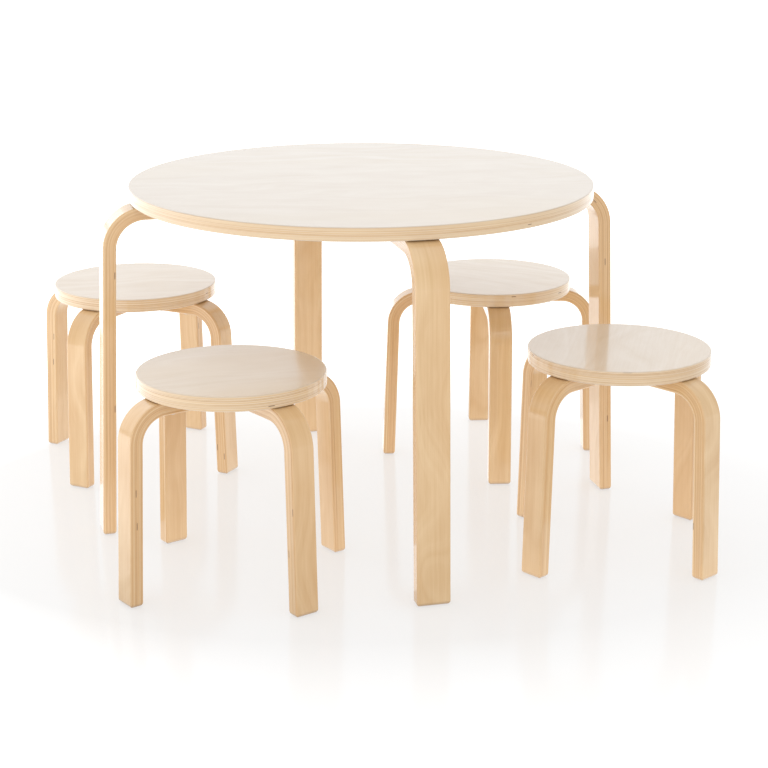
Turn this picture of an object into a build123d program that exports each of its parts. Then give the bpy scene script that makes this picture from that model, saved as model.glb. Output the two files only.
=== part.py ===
from build123d import *
import os
from math import cos, radians, sin, tan
from typing import NamedTuple

# A round children's table and four matching stools in birch plywood. Every leg is one strip of
# plywood, laminated and bent into an upside-down L. Its arm is bolted flat under the top or the
# seat, and its long side runs down to the floor with a slight splay.
# Millimetres. The origin is on the floor under the centre of the table, +Z up, +X to the right and
# +Y to the back.


class Sizes(NamedTuple):
    """The driving dimensions of the table or of one stool."""

    height: float  # floor to the upper face of the top
    top_diameter: float
    top_thickness: float
    leg_width: float
    leg_thickness: float
    bend_radius: float  # of the leg's outer face
    splay: float  # degrees that the long side leans out
    foot_overhang: float  # how far a foot's outer face stands outside the rim
    arm_gap: float  # from the end of an arm to the line of the next arm's side
    bolt_inset: float  # from the end of the arm, and from the start of the bend


TABLE = Sizes(
    height=523.0,
    top_diameter=700.0,
    top_thickness=20.0,
    leg_width=48.5,
    leg_thickness=20.0,
    bend_radius=64.0,
    splay=1.9,
    foot_overhang=60.0,
    arm_gap=126.0,
    bolt_inset=34.0,
)
STOOL = Sizes(
    height=307.0,
    top_diameter=266.0,
    top_thickness=21.0,
    leg_width=36.5,
    leg_thickness=20.0,
    bend_radius=56.0,
    splay=1.9,
    foot_overhang=49.0,
    arm_gap=12.0,
    bolt_inset=20.0,
)

LEG_COUNT = 4
RIM_ROUNDING = 1.5  # edges of the tops and seats
ARRIS_ROUNDING = 2.5  # long edges of the legs
FOOT_CHAMFER = 2.0

# Where the table's first leg and each stool stand, as angles round the table's axis from +X.
TABLE_LEG_ANGLE = 14.6


class Place(NamedTuple):
    """Where one stool stands, from the table's axis, and how its first leg is turned."""

    distance: float
    angle: float
    leg_angle: float


STOOL_PLACES = {
    "front_left": Place(distance=335.9, angle=237.9, leg_angle=37.8),
    "front_right": Place(distance=411.3, angle=336.4, leg_angle=43.7),
    "back_right": Place(distance=355.4, angle=53.0, leg_angle=2.9),
    "back_left": Place(distance=454.5, angle=146.6, leg_angle=63.4),
}

# Fasteners: M6 button-head bolts with washers, in threaded inserts.
BOLT_RADIUS = 3.0
BOLT_HEAD_RADIUS = 5.25
BOLT_HEAD_HEIGHT = 3.3
BOLT_HEAD_ROUNDING = 2.4
SOCKET_ACROSS_FLATS = 4.0
SOCKET_DEPTH = 2.0
THREAD_CLEARANCE = 0.05  # radial, between bolt and insert
INSERT_RADIUS = 5.0
INSERT_CLEARANCE = 0.05  # radial, between insert and its hole
INSERT_END_GAP = 1.0  # past the inner end of the insert
INSERT_COVER = 5.0  # wood left above the insert's hole
BOLT_END_GAP = 3.5  # from the bolt's tip to the insert's inner end
ARM_HOLE_CLEARANCE = 0.5  # radial, between bolt and arm
WASHER_RADIUS = 8.0
WASHER_HOLE_RADIUS = 3.2
WASHER_THICKNESS = 1.5

PARTS = "parts"


def arm_height(sizes):
    """The height of the underside of the top, where the arms lie."""
    return sizes.height - sizes.top_thickness


def bend_start(sizes):
    """The distance from the axis at which the arm ends and the bend begins."""
    lean = radians(sizes.splay)
    foot = sizes.top_diameter / 2 + sizes.foot_overhang
    straight_top = arm_height(sizes) - sizes.bend_radius * (1 - sin(lean))
    return foot - sizes.bend_radius * cos(lean) - straight_top * tan(lean)


def arm_end(sizes):
    """The distance from the axis to the inner end of an arm."""
    return sizes.leg_width / 2 + sizes.arm_gap


def bolt_distances(sizes):
    """The distances from the axis to the two bolts of each arm."""
    return arm_end(sizes) + sizes.bolt_inset, bend_start(sizes) - sizes.bolt_inset


def insert_hole_depth(sizes):
    return sizes.top_thickness - INSERT_COVER


def insert_length(sizes):
    return insert_hole_depth(sizes) - INSERT_END_GAP


def bolt_length(sizes):
    """From under the head to the tip."""
    return WASHER_THICKNESS + sizes.leg_thickness + insert_length(sizes) - BOLT_END_GAP


def standing(radius, length):
    """A cylinder on the Z axis, from zero up."""
    return Cylinder(radius, length, align=(Align.CENTER, Align.CENTER, Align.MIN))


def at_each_bolt(sizes, shape):
    """A copy of the shape at each bolt of each leg, for a shape made on the Z axis."""
    return [
        Rot(0, 0, leg * 360 / LEG_COUNT) * Pos(distance, 0, 0) * shape
        for leg in range(LEG_COUNT)
        for distance in bolt_distances(sizes)
    ]


def make_top(sizes):
    """The round top or seat, with blind holes for the inserts in its underside."""
    disc = standing(sizes.top_diameter / 2, sizes.top_thickness)
    disc = fillet(disc.edges().filter_by(GeomType.CIRCLE), RIM_ROUNDING)
    for hole in at_each_bolt(sizes, standing(INSERT_RADIUS, insert_hole_depth(sizes))):
        disc -= hole
    return Pos(0, 0, arm_height(sizes)) * disc


def leg_path(sizes):
    """The middle line of a leg in the XZ plane, from the arm's end to just below the floor."""
    lean = radians(sizes.splay)
    middle_radius = sizes.bend_radius - sizes.leg_thickness / 2
    centre = (bend_start(sizes), arm_height(sizes) - sizes.bend_radius)
    arm_level = centre[1] + middle_radius
    arm = Line((arm_end(sizes), arm_level), (centre[0], arm_level))
    bend = CenterArc(centre, middle_radius, 90, sizes.splay - 90)
    knee = (centre[0] + middle_radius * cos(lean), centre[1] + middle_radius * sin(lean))
    run = knee[1] / cos(lean) + sizes.leg_thickness
    side = Line(knee, (knee[0] + run * sin(lean), knee[1] - run * cos(lean)))
    return Plane.XZ * Wire([arm.edge(), bend.edge(), side.edge()])


def make_leg(sizes):
    """One bent leg with its arm along +X, cut level with the floor and drilled for its bolts."""
    arm_middle = arm_height(sizes) - sizes.leg_thickness / 2
    arm_face = Plane((arm_end(sizes), 0, arm_middle), x_dir=(0, 1, 0), z_dir=(1, 0, 0))
    section = arm_face * RectangleRounded(sizes.leg_width, sizes.leg_thickness, ARRIS_ROUNDING)
    leg = sweep(section, leg_path(sizes))
    leg -= Pos(bend_start(sizes), 0, 0) * Box(
        sizes.top_diameter,
        sizes.top_diameter,
        sizes.height,
        align=(Align.CENTER, Align.CENTER, Align.MAX),
    )
    leg = chamfer(leg.faces().sort_by(Axis.Z)[0].edges(), FOOT_CHAMFER)
    hole = standing(BOLT_RADIUS + ARM_HOLE_CLEARANCE, arm_height(sizes))
    for distance in bolt_distances(sizes):
        leg -= Pos(distance, 0, arm_middle - sizes.leg_thickness) * hole
    return leg


def make_insert(sizes):
    """A threaded insert, flush with the underside of the top."""
    insert = standing(INSERT_RADIUS - INSERT_CLEARANCE, insert_length(sizes))
    insert -= standing(BOLT_RADIUS + THREAD_CLEARANCE, insert_length(sizes))
    return Pos(0, 0, arm_height(sizes)) * insert


def make_washer(sizes):
    """A washer against the underside of an arm."""
    washer = standing(WASHER_RADIUS, WASHER_THICKNESS)
    washer -= standing(WASHER_HOLE_RADIUS, WASHER_THICKNESS)
    return Pos(0, 0, arm_height(sizes) - sizes.leg_thickness - WASHER_THICKNESS) * washer


def make_bolt(sizes):
    """A button-head bolt, pushed up through its washer and arm into its insert."""
    head = standing(BOLT_HEAD_RADIUS, BOLT_HEAD_HEIGHT)
    head = fillet(head.edges().sort_by(Axis.Z)[0], BOLT_HEAD_ROUNDING)
    socket = RegularPolygon(SOCKET_ACROSS_FLATS / 2, 6, major_radius=False)
    head -= extrude(socket, SOCKET_DEPTH)
    shank = Pos(0, 0, BOLT_HEAD_HEIGHT) * standing(BOLT_RADIUS, bolt_length(sizes))
    head_level = arm_height(sizes) - sizes.leg_thickness - WASHER_THICKNESS - BOLT_HEAD_HEIGHT
    return Pos(0, 0, head_level) * (head + shank)


def furniture(sizes, prefix, top_name, place):
    """The nodes of the table or of one stool, as (name, shape) pairs standing at their place."""
    leg = make_leg(sizes)
    yield f"{prefix}_{top_name}", place * make_top(sizes)
    for number in range(LEG_COUNT):
        yield f"{prefix}_leg_{number + 1}", place * Rot(0, 0, number * 360 / LEG_COUNT) * leg
    fasteners = {"inserts": make_insert, "washers": make_washer, "bolts": make_bolt}
    for name, make in fasteners.items():
        group = Compound(children=at_each_bolt(sizes, make(sizes)))
        yield f"{prefix}_{name}", place * group


def main():
    os.makedirs(PARTS, exist_ok=True)
    nodes = list(furniture(TABLE, "table", "top", Rot(0, 0, TABLE_LEG_ANGLE)))
    for name, place in STOOL_PLACES.items():
        turn = Rot(0, 0, place.leg_angle - place.angle)
        spot = Rot(0, 0, place.angle) * Pos(place.distance, 0, 0) * turn
        nodes += furniture(STOOL, f"{name}_stool", "seat", spot)
    for name, shape in nodes:
        export_step(shape, f"{PARTS}/{name}.step")


main()
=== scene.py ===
from math import atan2, cos, hypot, pi, radians, sin, tan
from typing import NamedTuple

import bpy
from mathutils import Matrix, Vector


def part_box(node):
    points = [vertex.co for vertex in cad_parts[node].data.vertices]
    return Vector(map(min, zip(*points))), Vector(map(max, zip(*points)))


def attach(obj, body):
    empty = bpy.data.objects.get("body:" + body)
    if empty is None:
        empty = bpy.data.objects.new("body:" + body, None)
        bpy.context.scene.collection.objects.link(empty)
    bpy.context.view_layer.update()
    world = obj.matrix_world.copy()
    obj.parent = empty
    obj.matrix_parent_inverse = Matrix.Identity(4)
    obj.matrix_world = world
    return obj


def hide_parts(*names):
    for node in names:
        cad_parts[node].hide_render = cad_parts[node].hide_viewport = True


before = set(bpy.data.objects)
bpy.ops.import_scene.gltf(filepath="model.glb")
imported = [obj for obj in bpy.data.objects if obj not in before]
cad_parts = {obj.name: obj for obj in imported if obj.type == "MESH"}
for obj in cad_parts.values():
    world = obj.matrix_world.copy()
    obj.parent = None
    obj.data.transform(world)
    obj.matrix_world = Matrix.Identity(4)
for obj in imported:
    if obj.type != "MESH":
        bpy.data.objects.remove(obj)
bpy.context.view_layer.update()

# ---------------------------------------------------------------------------------------------
# Sizes of the bent plywood legs and the round plywood tops, as in the CAD model. Metres.

LEG_THICKNESS = 0.020
TOP_THICKNESS = 0.020
SEAT_THICKNESS = 0.021
PLIES = 13  # in every board
LEAN = radians(1.9)  # of a leg's long side


class Furniture(NamedTuple):
    """The shape of the legs of the table or of a stool."""

    leg_width: float
    bend_radius: float  # of the outer face
    arm_gap: float  # from the end of an arm to the line of the next arm's side
    foot_overhang: float  # how far a foot's outer face stands outside the rim

    @property
    def arm_end(self):
        return self.leg_width / 2 + self.arm_gap


TABLE = Furniture(leg_width=0.0485, bend_radius=0.064, arm_gap=0.126, foot_overhang=0.060)
STOOL = Furniture(leg_width=0.0365, bend_radius=0.056, arm_gap=0.012, foot_overhang=0.049)
STOOLS = ("front_left_stool", "front_right_stool", "back_right_stool", "back_left_stool")

ARRIS = 0.0025  # rounding of a leg's long edges
SMALLEST_ARRIS = 0.0004  # what is left of it at the tip of a rounded foot
FOOT_ROUNDING = 0.0055
ARM_END_ROUNDING = 0.0012
RIM_ROUNDING = 0.0016
FOOT_ZONE = 0.004  # the height below which a point of a CAD leg belongs to its foot

CORNER_STEPS = 5
FOOT_STEPS = 5
ARM_END_STEPS = 3
ARM_STATIONS = 10
BEND_STATIONS = 40
SIDE_STATIONS = 24
DISC_SEGMENTS = 256
DISC_RINGS = (0.3, 0.7)  # of the flat faces, as shares of the radius

GRAIN = "grain"  # mesh attribute: metres along the grain, across it, and through the board
RIM_TURN = "rim_turn"  # mesh attribute: 1 where a rim cuts across the face grain, 0 along it
GRAIN_STEP = 8.0  # metres between the grain of one piece and of the next
TOP_TURNS = {  # the direction of each top's face grain
    "table": radians(4),
    "front_left_stool": radians(24),
    "front_right_stool": radians(78),
    "back_right_stool": radians(-35),
    "back_left_stool": radians(10),
}


def foot_angle(node, centre):
    """The direction from the top's centre to the middle of a CAD leg's foot."""
    feet = [v.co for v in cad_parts[node].data.vertices if v.co.z < FOOT_ZONE]
    x = sum(p.x for p in feet) / len(feet) - centre[0]
    y = sum(p.y for p in feet) / len(feet) - centre[1]
    return atan2(y, x)


def rounded_rectangle(width, thickness, radius):
    """Rows (y, d, y of normal, d of normal) round a section, from its +y, -d corner."""
    points = []
    for quarter, (sy, sd) in enumerate(((1, -1), (1, 1), (-1, 1), (-1, -1))):
        cy, cd = sy * (width / 2 - radius), sd * (thickness / 2 - radius)
        start = -pi / 2 + quarter * pi / 2
        for step in range(CORNER_STEPS + 1):
            angle = start + step / CORNER_STEPS * pi / 2
            ny, nd = cos(angle), sin(angle)
            points.append((cy + radius * ny, cd + radius * nd, ny, nd))
    return points


def rounded_end(steps):
    """Rows (inset, depth, side weight, end weight) of a rounded end, from its tip inward.

    Inset and depth are shares of the rounding. The weights make up the normal.
    """
    for step in range(steps + 1):
        angle = step / steps * pi / 2
        yield 1 - sin(angle), 1 - cos(angle), sin(angle), cos(angle)


class MeshMaker:
    """Collects rings of points with normals and grain coordinates, and joins them into a mesh."""

    def __init__(self):
        self.points, self.normals, self.faces = [], [], []
        self.grain, self.rim_turn = [], []

    def ring(self, rows):
        """Adds rows of (point, normal, grain) and returns the numbers of their points."""
        start = len(self.points)
        for point, normal, grain in rows:
            self.points.append(point)
            self.normals.append(Vector(normal).normalized())
            self.grain.append(grain)
        return range(start, len(self.points))

    def bridge(self, first, second):
        """Joins two rings of equal length with a band of faces."""
        count = len(first)
        for i in range(count):
            j = (i + 1) % count
            self.faces.append((first[i], first[j], second[j], second[i]))

    def make(self, name, material):
        mesh = bpy.data.meshes.new(name)
        mesh.from_pydata(self.points, [], self.faces)
        mesh.attributes.new(GRAIN, "FLOAT_VECTOR", "POINT").data.foreach_set(
            "vector", [c for row in self.grain for c in row]
        )
        if self.rim_turn:
            mesh.attributes.new(RIM_TURN, "FLOAT", "POINT").data.foreach_set(
                "value", self.rim_turn
            )
        mesh.materials.append(material)
        for polygon in mesh.polygons:
            polygon.use_smooth = True
        mesh.validate()
        mesh.normals_split_custom_set_from_vertices(self.normals)
        piece = bpy.data.objects.new(name, mesh)
        bpy.context.scene.collection.objects.link(piece)
        return piece


def leg_stations(kind, arm_height, top_radius):
    """Points along the middle line of a leg, from the arm's end to just above the floor.

    Each is (x, z, outward direction, direction along the leg), in the plane of the leg.
    """
    radius = kind.bend_radius
    middle = radius - LEG_THICKNESS / 2
    foot = top_radius + kind.foot_overhang
    straight_top = arm_height - radius * (1 - sin(LEAN))
    bend_x = foot - radius * cos(LEAN) - straight_top * tan(LEAN)
    bend_z = arm_height - radius

    stations = []
    for i in range(ARM_STATIONS + 1):
        x = kind.arm_end + (bend_x - kind.arm_end) * i / ARM_STATIONS
        stations.append((x, bend_z + middle, (0, 1), (1, 0)))
    for i in range(1, BEND_STATIONS + 1):
        a = pi / 2 + (LEAN - pi / 2) * i / BEND_STATIONS
        out = (cos(a), sin(a))
        x, z = bend_x + middle * out[0], bend_z + middle * out[1]
        stations.append((x, z, out, (out[1], -out[0])))
    knee_x, knee_z, out, along = stations[-1]
    side_length = knee_z / cos(LEAN)
    for i in range(1, SIDE_STATIONS):
        run = side_length * i / SIDE_STATIONS
        stations.append((knee_x + run * sin(LEAN), knee_z - run * cos(LEAN), out, along))
    return stations


def make_leg(name, kind, arm_height, top_radius, centre, angle, grain_start, material):
    """One bent leg: a flat arm from its end to the bend, the bend, and the side to the floor."""
    maker = MeshMaker()

    def turned(x, y, z):
        return (x * cos(angle) - y * sin(angle), x * sin(angle) + y * cos(angle), z)

    def section(station, run, inset=0.0, side_weight=1.0, end_weight=0.0, slide=None):
        """A ring round the leg, shrunk by inset and moved along the leg by slide(x, z)."""
        x0, z0, out, along = station
        rows = []
        for y, d, ny, nd in rounded_rectangle(
            kind.leg_width - 2 * inset,
            LEG_THICKNESS - 2 * inset,
            max(ARRIS - 0.6 * inset, SMALLEST_ARRIS),
        ):
            x, z = x0 + d * out[0], z0 + d * out[1]
            move = slide(x, z) if slide else 0.0
            x, y_turned, z = turned(x + move * along[0], y, z + move * along[1])
            normal = turned(
                side_weight * nd * out[0] + end_weight * along[0],
                side_weight * ny,
                side_weight * nd * out[1] + end_weight * along[1],
            )
            point = (centre[0] + x, centre[1] + y_turned, z)
            rows.append((point, normal, (grain_start + run + move, y, d)))
        return maker.ring(rows)

    stations = leg_stations(kind, arm_height, top_radius)
    rings = []
    for inset, depth, side_weight, end_weight in rounded_end(ARM_END_STEPS):
        end = kind.arm_end + ARM_END_ROUNDING * depth
        rings.append(
            section(
                stations[0],
                0.0,
                ARM_END_ROUNDING * inset,
                side_weight,
                -end_weight,
                lambda x, z, end=end: end - x,
            )
        )
    run = 0.0
    for before, station in zip(stations, stations[1:]):
        run += hypot(station[0] - before[0], station[1] - before[1])
        rings.append(section(station, run))
    foot_rings = []
    for inset, depth, side_weight, end_weight in rounded_end(FOOT_STEPS):
        level = FOOT_ROUNDING * depth
        foot_rings.append(
            section(
                stations[-1],
                run,
                FOOT_ROUNDING * inset,
                side_weight,
                end_weight,
                lambda x, z, level=level: (z - level) / cos(LEAN),
            )
        )
    rings += reversed(foot_rings)
    for first, second in zip(rings, rings[1:]):
        maker.bridge(first, second)
    maker.faces.append(tuple(reversed(rings[0])))
    maker.faces.append(tuple(rings[-1]))
    return maker.make(name, material)


def make_disc(name, centre, radius, low, high, turn, grain_start, material):
    """A round top: flat faces, a straight rim and rounded edges. Its face grain runs along turn."""
    maker = MeshMaker()
    middle, half = (low + high) / 2, (high - low) / 2
    profile = [(share * radius, half, 0, 1) for share in DISC_RINGS]
    for step in range(CORNER_STEPS + 1):
        a = pi / 2 * (1 - step / CORNER_STEPS)
        r = radius - RIM_ROUNDING + RIM_ROUNDING * cos(a)
        profile.append((r, half - RIM_ROUNDING + RIM_ROUNDING * sin(a), cos(a), sin(a)))
    profile += [(r, -z, nr, -nz) for r, z, nr, nz in reversed(profile)]

    def around(r, z, nr, nz):
        rows = []
        for i in range(DISC_SEGMENTS):
            a = 2 * pi * i / DISC_SEGMENTS
            x, y = r * cos(a), r * sin(a)
            grain = (
                grain_start + x * cos(turn) + y * sin(turn),
                y * cos(turn) - x * sin(turn),
                z,
            )
            point = (centre[0] + x, centre[1] + y, middle + z)
            maker.rim_turn.append(cos(a - turn) ** 2)
            rows.append((point, (nr * cos(a), nr * sin(a), nz), grain))
        return maker.ring(rows)

    rings = [around(*row) for row in profile]
    for first, second in zip(rings, rings[1:]):
        maker.bridge(second, first)
    maker.faces.append(tuple(rings[0]))
    maker.faces.append(tuple(reversed(rings[-1])))
    return maker.make(name, material)


# ---------------------------------------------------------------------------------------------
# Materials, all from nodes. The scales of a wood's noises are per metre along the grain, across it
# and through the board.


class Nodes:
    """Short ways to add and join the shader nodes of a material or of the world."""

    def __init__(self, owner):
        owner.use_nodes = True
        self.tree = owner.node_tree
        self.shader = self.tree.nodes.get("Principled BSDF") or self.tree.nodes["Background"]

    def put(self, socket, value):
        if isinstance(value, bpy.types.NodeSocket):
            self.tree.links.new(value, socket)
        elif value is not None:
            socket.default_value = value

    def set(self, **values):
        """Sets inputs of the shader, named with _ for a space."""
        for name, value in values.items():
            self.put(self.shader.inputs[name.replace("_", " ")], value)

    def attribute(self, name, output):
        node = self.tree.nodes.new("ShaderNodeAttribute")
        node.attribute_name = name
        return node.outputs[output]

    def coordinates(self, output):
        return self.tree.nodes.new("ShaderNodeTexCoord").outputs[output]

    def split(self, vector):
        node = self.tree.nodes.new("ShaderNodeSeparateXYZ")
        self.put(node.inputs[0], vector)
        return node.outputs

    def math(self, operation, a, b=None, c=None):
        node = self.tree.nodes.new("ShaderNodeMath")
        node.operation = operation
        for socket, value in zip(node.inputs, (a, b, c)):
            self.put(socket, value)
        return node.outputs[0]

    def vector(self, x, y, z):
        node = self.tree.nodes.new("ShaderNodeCombineXYZ")
        for socket, value in zip(node.inputs, (x, y, z)):
            self.put(socket, value)
        return node.outputs[0]

    def scaled(self, source, factors, offset=(0.0, 0.0, 0.0)):
        node = self.tree.nodes.new("ShaderNodeVectorMath")
        node.operation = "MULTIPLY_ADD"
        self.put(node.inputs[0], source)
        node.inputs[1].default_value = factors
        node.inputs[2].default_value = offset
        return node.outputs[0]

    def noise(self, source, detail=2.0, roughness=0.5):
        node = self.tree.nodes.new("ShaderNodeTexNoise")
        self.put(node.inputs["Vector"], source)
        node.inputs["Scale"].default_value = 1.0
        node.inputs["Detail"].default_value = detail
        node.inputs["Roughness"].default_value = roughness
        return node.outputs["Fac"]

    def white(self, x, y, z):
        """White noise: one value for each set of three numbers."""
        node = self.tree.nodes.new("ShaderNodeTexWhiteNoise")
        self.put(node.inputs["Vector"], self.vector(x, y, z))
        return node.outputs["Value"]

    def remap(self, value, low, high, out_low=0.0, out_high=1.0):
        """Takes low to out_low and high to out_high, and stays between those two."""
        node = self.tree.nodes.new("ShaderNodeMapRange")
        self.put(node.inputs["Value"], value)
        for name, number in zip(
            ("From Min", "From Max", "To Min", "To Max"), (low, high, out_low, out_high)
        ):
            self.put(node.inputs[name], number)
        return node.outputs["Result"]

    def mix(self, factor, a, b):
        node = self.tree.nodes.new("ShaderNodeMix")
        node.data_type = "RGBA"
        self.put(node.inputs["Factor"], factor)
        self.put(node.inputs["A"], a)
        self.put(node.inputs["B"], b)
        return node.outputs["Result"]

    def bump(self, height, distance):
        node = self.tree.nodes.new("ShaderNodeBump")
        node.inputs["Strength"].default_value = 1.0
        node.inputs["Distance"].default_value = distance
        self.put(node.inputs["Height"], height)
        return node.outputs["Normal"]


def face_veneer(n, grain, light, dark, warm):
    """The veneer's colour from flame figure, streaks, mottling and pores, and the last three."""
    along, across, _ = n.split(grain)
    warp = n.noise(n.scaled(grain, (4.2, 10.0, 3.0)), detail=1.0)
    field = n.math("MULTIPLY_ADD", across, 46.0, n.math("MULTIPLY", warp, 10.0))
    flame_place = n.vector(field, n.math("MULTIPLY", along, 0.7), 3.1)
    flame = n.noise(flame_place, detail=2.5, roughness=0.62)
    streaks = n.noise(n.scaled(grain, (5.0, 260.0, 500.0)), detail=3.0, roughness=0.6)
    mottle = n.noise(n.scaled(grain, (13.0, 24.0, 20.0), (7.0, 2.0, 5.0)), detail=2.0)
    pores = n.noise(n.scaled(grain, (26.0, 1150.0, 1900.0)), detail=2.0, roughness=0.6)
    broad = n.noise(n.scaled(grain, (1.3, 5.0, 2.0), (3.0, 9.0, 1.0)), detail=1.0)
    figure = n.math("MULTIPLY", n.remap(flame, 0.32, 0.68), 0.40)
    for pattern, share in ((streaks, 0.22), (mottle, 0.24), (pores, 0.14)):
        figure = n.math("MULTIPLY_ADD", n.remap(pattern, 0.3, 0.7), share, figure)
    colour = n.mix(n.remap(broad, 0.48, 0.78, 0.0, 0.75), n.mix(figure, light, dark), warm)
    return colour, streaks, mottle, pores


def off_half(n, value):
    """How far the fraction of a value is from one half."""
    return n.math("ABSOLUTE", n.math("SUBTRACT", n.math("FRACT", value), 0.5))


def board_edge(n, grain, thickness, cross_banded, light, dark):
    """The plies on a board's edge: where the edge shows, its colour, glue lines and gaps."""
    along, across, depth = n.split(grain)
    ply = thickness / PLIES
    off_middle = n.math("ABSOLUTE", depth)
    inner = n.remap(off_middle, thickness / 2 - 0.55 * ply, thickness / 2 - 0.7 * ply)

    # The level counts plies from the lower face. The plies waver a little.
    waver = n.math("SUBTRACT", n.noise(n.scaled(grain, (7.0, 7.0, 0.0)), detail=1.0), 0.5)
    height = n.math("ADD", depth, thickness / 2)
    level = n.math("DIVIDE", n.math("MULTIPLY_ADD", waver, PLY_WAVER, height), ply)
    layer = n.math("FLOOR", level)
    border = n.math("ROUND", level)
    stretch = n.math("ROUND", n.math("MULTIPLY", along, 0.25))  # one number for each piece

    # A glue line lies between two plies, and is stronger in some places than in others.
    off_line = n.math("MULTIPLY", n.math("ABSOLUTE", n.math("SUBTRACT", level, border)), ply)
    line_place = n.vector(
        n.math("MULTIPLY", along, 7.0),
        n.math("MULTIPLY", across, 7.0),
        n.math("MULTIPLY", border, 3.7),
    )
    line = n.math(
        "MULTIPLY",
        n.remap(n.white(border, 9.0, stretch), 0.3, 0.9, 0.25, 1.0),
        n.remap(n.noise(line_place, detail=1.5), 0.28, 0.5),
    )
    line = n.math("MULTIPLY", n.remap(off_line, *GLUE_LINE), line)
    line = n.math("MULTIPLY", line, inner)

    # Every ply has its own tone, and end grain is darker than long grain.
    layer_tone = n.white(layer, 4.0, stretch)
    if cross_banded:
        odd = n.math("MODULO", n.math("ADD", layer, 100.0), 2.0)
        rim_turn = n.attribute(RIM_TURN, "Fac")
        end_grain = n.math("ABSOLUTE", n.math("SUBTRACT", odd, rim_turn))
    else:
        end_grain = n.math("MULTIPLY", layer_tone, 0.7)
    fleck = n.remap(n.noise(n.scaled(grain, (60.0, 60.0, 2400.0)), detail=2.0), 0.35, 0.7)
    tone = n.math("MULTIPLY_ADD", end_grain, 0.55, n.math("MULTIPLY_ADD", layer_tone, 0.5, -0.1))
    tone = n.math("MULTIPLY_ADD", fleck, 0.25, tone)
    colour = n.mix(tone, light, dark)

    # Now and then a core ply has a small gap, painted dark as the shade inside its hollow. One cell
    # along a ply in GAP_RARITY holds one.
    shift = n.math("MULTIPLY", n.white(layer, 2.0, 5.0), 0.9)
    cell = n.math("DIVIDE", n.math("ADD", along, shift), GAP_CELL)
    if cross_banded:
        cell = n.math("MULTIPLY_ADD", across, 61.0, cell)
    chosen = n.white(n.math("FLOOR", cell), layer, 8.0)
    chosen = n.math("GREATER_THAN", chosen, 1 - 1 / GAP_RARITY)
    gap = n.math(
        "MULTIPLY",
        n.remap(off_half(n, cell), 0.36, 0.24),
        n.remap(off_half(n, level), 0.42, 0.25),
    )
    gap = n.math("MULTIPLY", n.math("MULTIPLY", gap, chosen), inner)
    return inner, colour, line, gap


def birch(name, thickness, cross_banded, veneer, edge):
    """Clear-lacquered birch plywood, read from the grain attribute of the mesh.

    Veneer is its light, dark and warm colour, and edge its light and dark colour.
    """
    material = bpy.data.materials.new(name)
    n = Nodes(material)
    grain = n.attribute(GRAIN, "Vector")
    face_colour, streaks, mottle, pores = face_veneer(n, grain, *veneer)
    inner, edge_colour, line, gap = board_edge(n, grain, thickness, cross_banded, *edge)

    colour = n.mix(n.math("MULTIPLY", inner, 0.85), face_colour, edge_colour)
    colour = n.mix(n.math("MULTIPLY", line, 0.85), colour, GLUE_COLOUR)
    # Painted shade inside the core gaps.
    colour = n.mix(n.math("MULTIPLY", gap, 0.85), colour, GAP_SHADE_COLOUR)
    # Painted shade: the lowest millimetres of the feet, where they meet the floor, are darker.
    height = n.split(n.coordinates("Object"))[2]
    colour = n.mix(n.remap(height, *FOOT_SHADE_HEIGHTS, 0.0, 0.6), colour, FOOT_SHADE_COLOUR)

    rough = n.math("MULTIPLY_ADD", pores, 0.12, WOOD_ROUGHNESS)
    rough = n.math("MULTIPLY_ADD", mottle, 0.08, rough)
    relief = n.math("MULTIPLY_ADD", streaks, 0.5, n.math("MULTIPLY", pores, 0.35))
    sunk = n.math("MULTIPLY_ADD", line, 0.8, n.math("MULTIPLY", gap, 6.0))
    relief = n.math("SUBTRACT", relief, sunk)
    peel = n.noise(n.scaled(grain, (170.0, 170.0, 170.0)), detail=1.0)
    peel = n.math("MULTIPLY_ADD", relief, 0.25, peel)
    n.set(
        Base_Color=colour,
        Roughness=n.math("MULTIPLY_ADD", line, 0.2, rough),
        Normal=n.bump(relief, WOOD_RELIEF),
        Coat_Normal=n.bump(peel, LACQUER_RELIEF),
        Coat_Weight=1.0,
        Coat_Roughness=0.11,
        Coat_IOR=1.5,
    )
    return material


def metal(name, colour, tint, roughness):
    """Plated or bare metal with faint turning marks and spots."""
    material = bpy.data.materials.new(name)
    n = Nodes(material)
    place = n.coordinates("Object")
    spots = n.noise(n.scaled(place, (900.0, 900.0, 900.0)), detail=3.0)
    marks = n.noise(n.scaled(place, (400.0, 400.0, 9000.0)), detail=2.0)
    n.set(
        Base_Color=n.mix(n.remap(spots, 0.35, 0.7), colour, tint),
        Roughness=n.math("MULTIPLY_ADD", marks, 0.22, roughness),
        Normal=n.bump(marks, METAL_RELIEF),
        Metallic=1.0,
    )
    return material


PLY_WAVER = 0.0005  # metres, top to bottom
GLUE_LINE = (0.00052, 0.00016)  # half widths at which a glue line begins and is full, metres
GLUE_COLOUR = (0.43, 0.205, 0.065, 1.0)
GAP_CELL = 0.017  # metres along a ply
GAP_RARITY = 250
# The colour of the painted shade inside a core gap.
GAP_SHADE_COLOUR = (0.16, 0.07, 0.025, 1.0)
FOOT_SHADE_HEIGHTS = (0.006, 0.0015)  # above the floor, where the painted shade begins and is full, metres
# The colour of the painted shade at the bottom of the feet.
FOOT_SHADE_COLOUR = (0.33, 0.19, 0.09, 1.0)
WOOD_ROUGHNESS = 0.30
WOOD_RELIEF = 0.00006
LACQUER_RELIEF = 0.00003
METAL_RELIEF = 0.00002

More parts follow.
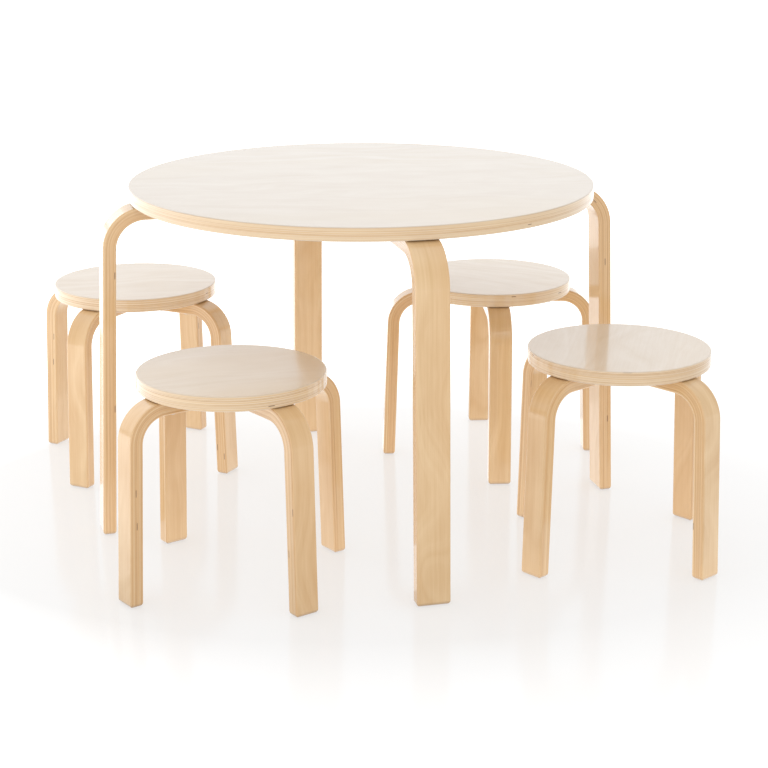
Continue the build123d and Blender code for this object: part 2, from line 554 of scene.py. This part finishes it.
# Light, dark and warm colours of a veneer, and light and dark colours of an edge.
LEG_VENEER = ((0.82, 0.595, 0.34, 1.0), (0.605, 0.36, 0.145, 1.0), (0.665, 0.38, 0.15, 1.0))
TOP_VENEER = ((0.635, 0.55, 0.46, 1.0), (0.55, 0.445, 0.33, 1.0), (0.60, 0.485, 0.34, 1.0))
SEAT_VENEER = ((0.72, 0.625, 0.52, 1.0), (0.61, 0.475, 0.33, 1.0), (0.67, 0.52, 0.35, 1.0))
LEG_EDGE = ((0.80, 0.57, 0.31, 1.0), (0.66, 0.38, 0.15, 1.0))
RIM_EDGE = ((0.82, 0.66, 0.45, 1.0), (0.72, 0.49, 0.25, 1.0))

leg_wood = birch("birch_leg", LEG_THICKNESS, False, LEG_VENEER, LEG_EDGE)
top_wood = birch("birch_top", TOP_THICKNESS, True, TOP_VENEER, RIM_EDGE)
seat_wood = birch("birch_seat", SEAT_THICKNESS, True, SEAT_VENEER, RIM_EDGE)
zinc = metal("zinc_steel", (0.60, 0.60, 0.59, 1.0), (0.50, 0.50, 0.50, 1.0), 0.28)
brass = metal("brass_insert", (0.66, 0.50, 0.26, 1.0), (0.55, 0.40, 0.20, 1.0), 0.32)

# ---------------------------------------------------------------------------------------------
# The pieces.

number = 0  # of the wooden piece, which sets its place in the grain
for body in ("table",) + STOOLS:
    if body == "table":
        kind, top_node, top_slot, top_material = TABLE, "table_top", "table_birch_ply", top_wood
    else:
        kind, top_node, top_slot, top_material = STOOL, body + "_seat", "seat_birch_ply", seat_wood
    low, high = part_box(top_node)
    centre = ((low.x + high.x) / 2, (low.y + high.y) / 2)
    radius = (high.x - low.x) / 2
    number += 1
    disc = make_disc(
        "wood_" + top_node,
        centre,
        radius,
        low.z,
        high.z,
        TOP_TURNS[body],
        GRAIN_STEP * number,
        top_material,
    )
    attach(disc, body)
    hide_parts(top_node)
    for leg in range(1, 5):
        node = f"{body}_leg_{leg}"
        number += 1
        piece = make_leg(
            "wood_" + node,
            kind,
            low.z,
            radius,
            centre,
            foot_angle(node, centre),
            GRAIN_STEP * number,
            leg_wood,
        )
        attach(piece, body)
        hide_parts(node)
    for fastener, metal_look in (("bolts", zinc), ("washers", zinc), ("inserts", brass)):
        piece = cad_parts[f"{body}_{fastener}"]
        piece.data.materials.clear()
        piece.data.materials.append(metal_look)

# ---------------------------------------------------------------------------------------------
# Floor, light and camera.


WHITE = (1.0, 1.0, 1.0, 1.0)
FLOOR_HALF_SIZE = 14.0
FLOOR_COLOUR = (0.3, 0.3, 0.3, 1.0)
FLOOR_STRETCH = (1.0, 1.25, 1.0)  # scales the distances below
FLOOR_FADE = (0.65, 1.2)  # metres from the table's axis, where its glow begins and ends to change
LOW_SKY = (0.15, 0.45)  # sines of the heights where the tent's low part begins to fade and ends
TOP_SKY = (0.72, 0.92)  # sines of the heights where its top part begins and is full
SMALLEST_SQUARE = 0.0001  # keeps a division finite


def lobes(n, x, y, square):
    """Four weights that sum to 1 over the directions: towards the front, left, back and right."""
    weights = []
    for axis, sign in ((y, -1.0), (x, -1.0), (y, 1.0), (x, 1.0)):
        part = n.math("MAXIMUM", n.math("MULTIPLY", axis, sign), 0.0)
        weights.append(n.math("DIVIDE", n.math("MULTIPLY", part, part), square))
    return weights


def make_floor(near, around):
    """A white floor that glows like a lit acrylic sheet.

    Near is its glow under the furniture, and around its glow away from it, at the front, left,
    back and right.
    """
    mesh = bpy.data.meshes.new("floor")
    corners = [
        (sx * FLOOR_HALF_SIZE, sy * FLOOR_HALF_SIZE, 0)
        for sx, sy in ((-1, -1), (1, -1), (1, 1), (-1, 1))
    ]
    mesh.from_pydata(corners, [], [(0, 1, 2, 3)])
    floor = bpy.data.objects.new("floor", mesh)
    bpy.context.scene.collection.objects.link(floor)
    material = bpy.data.materials.new("pale_floor")
    n = Nodes(material)
    place = n.coordinates("Object")
    x, y, _ = n.split(place)
    length = n.tree.nodes.new("ShaderNodeVectorMath")
    length.operation = "LENGTH"
    n.put(length.inputs[0], n.scaled(place, FLOOR_STRETCH))
    away = n.remap(length.outputs["Value"], *FLOOR_FADE)
    square = n.math("MULTIPLY_ADD", x, x, n.math("MULTIPLY", y, y))
    square = n.math("MAXIMUM", square, SMALLEST_SQUARE)
    glow = n.math("MULTIPLY_ADD", away, -near, near)
    for lobe, amount in zip(lobes(n, x, y, square), around):
        glow = n.math("MULTIPLY_ADD", n.math("MULTIPLY", lobe, away), amount, glow)
    n.set(
        Base_Color=FLOOR_COLOUR,
        Roughness=0.12,
        IOR=1.25,
        Emission_Color=WHITE,
        Emission_Strength=glow,
    )
    mesh.materials.append(material)


def area_light(name, place, target, size, power):
    light = bpy.data.lights.new(name, "AREA")
    light.shape = "RECTANGLE"
    light.size, light.size_y = size
    light.energy = power
    lamp = bpy.data.objects.new(name, light)
    lamp.location = place
    lamp.rotation_euler = (Vector(target) - Vector(place)).to_track_quat("-Z", "Y").to_euler()
    bpy.context.scene.collection.objects.link(lamp)
    return lamp


def make_world(low, middle, zenith):
    """A white studio tent. Low and middle are its brightness at the front, left, back and right."""
    world = bpy.data.worlds.new("studio")
    bpy.context.scene.world = world
    n = Nodes(world)
    x, y, z = n.split(n.coordinates("Generated"))
    flat = n.math("SUBTRACT", 1.0, n.math("MULTIPLY", z, z))
    flat = n.math("MAXIMUM", flat, SMALLEST_SQUARE)
    low_part = n.remap(z, *LOW_SKY, 1.0, 0.0)
    top_part = n.remap(z, *TOP_SKY)
    middle_part = n.math("SUBTRACT", n.math("SUBTRACT", 1.0, low_part), top_part)
    strength = n.math("MULTIPLY", top_part, zenith)
    for lobe, low_amount, middle_amount in zip(lobes(n, x, y, flat), low, middle):
        for part, amount in ((low_part, low_amount), (middle_part, middle_amount)):
            strength = n.math("MULTIPLY_ADD", n.math("MULTIPLY", lobe, part), amount, strength)
    n.set(Color=WHITE, Strength=strength)


STOOL_LEVEL = (0.0, 0.0, 0.3)
CAMERA_TILT = 0.2508  # radians below level

make_floor(near=0.585, around=(0.85, 1.7, 1.2, 0.68))
make_world(low=(1.14, 0.85, 1.2, 0.88), middle=(0.85, 1.0, 1.05, 0.7), zenith=1.22)
area_light("softbox", (0.2, -3.0, 2.3), STOOL_LEVEL, (2.0, 0.8), 5.0)
area_light("window", (-2.3, 1.7, 1.5), STOOL_LEVEL, (3.0, 2.0), 14.0)
# The bounce is the floor's own light on the undersides, so the lamp itself doesn't show.
bounce = area_light("bounce", (0.0, 0.05, 0.001), (0.0, 0.05, 1.0), (1.7, 0.8), 1.7)
bounce.visible_camera = False
bpy.context.scene.view_settings.view_transform = "Standard"

camera_data = bpy.data.cameras.new("camera")
camera_data.sensor_width = 36.0
camera_data.lens = 89.83
camera_data.shift_y = -0.09375
camera = bpy.data.objects.new("camera", camera_data)
camera.location = (0.0343, -2.856, 1.0488)
camera.rotation_euler = (pi / 2 - CAMERA_TILT, 0.0, 0.0)
bpy.context.scene.collection.objects.link(camera)
bpy.context.scene.camera = camera
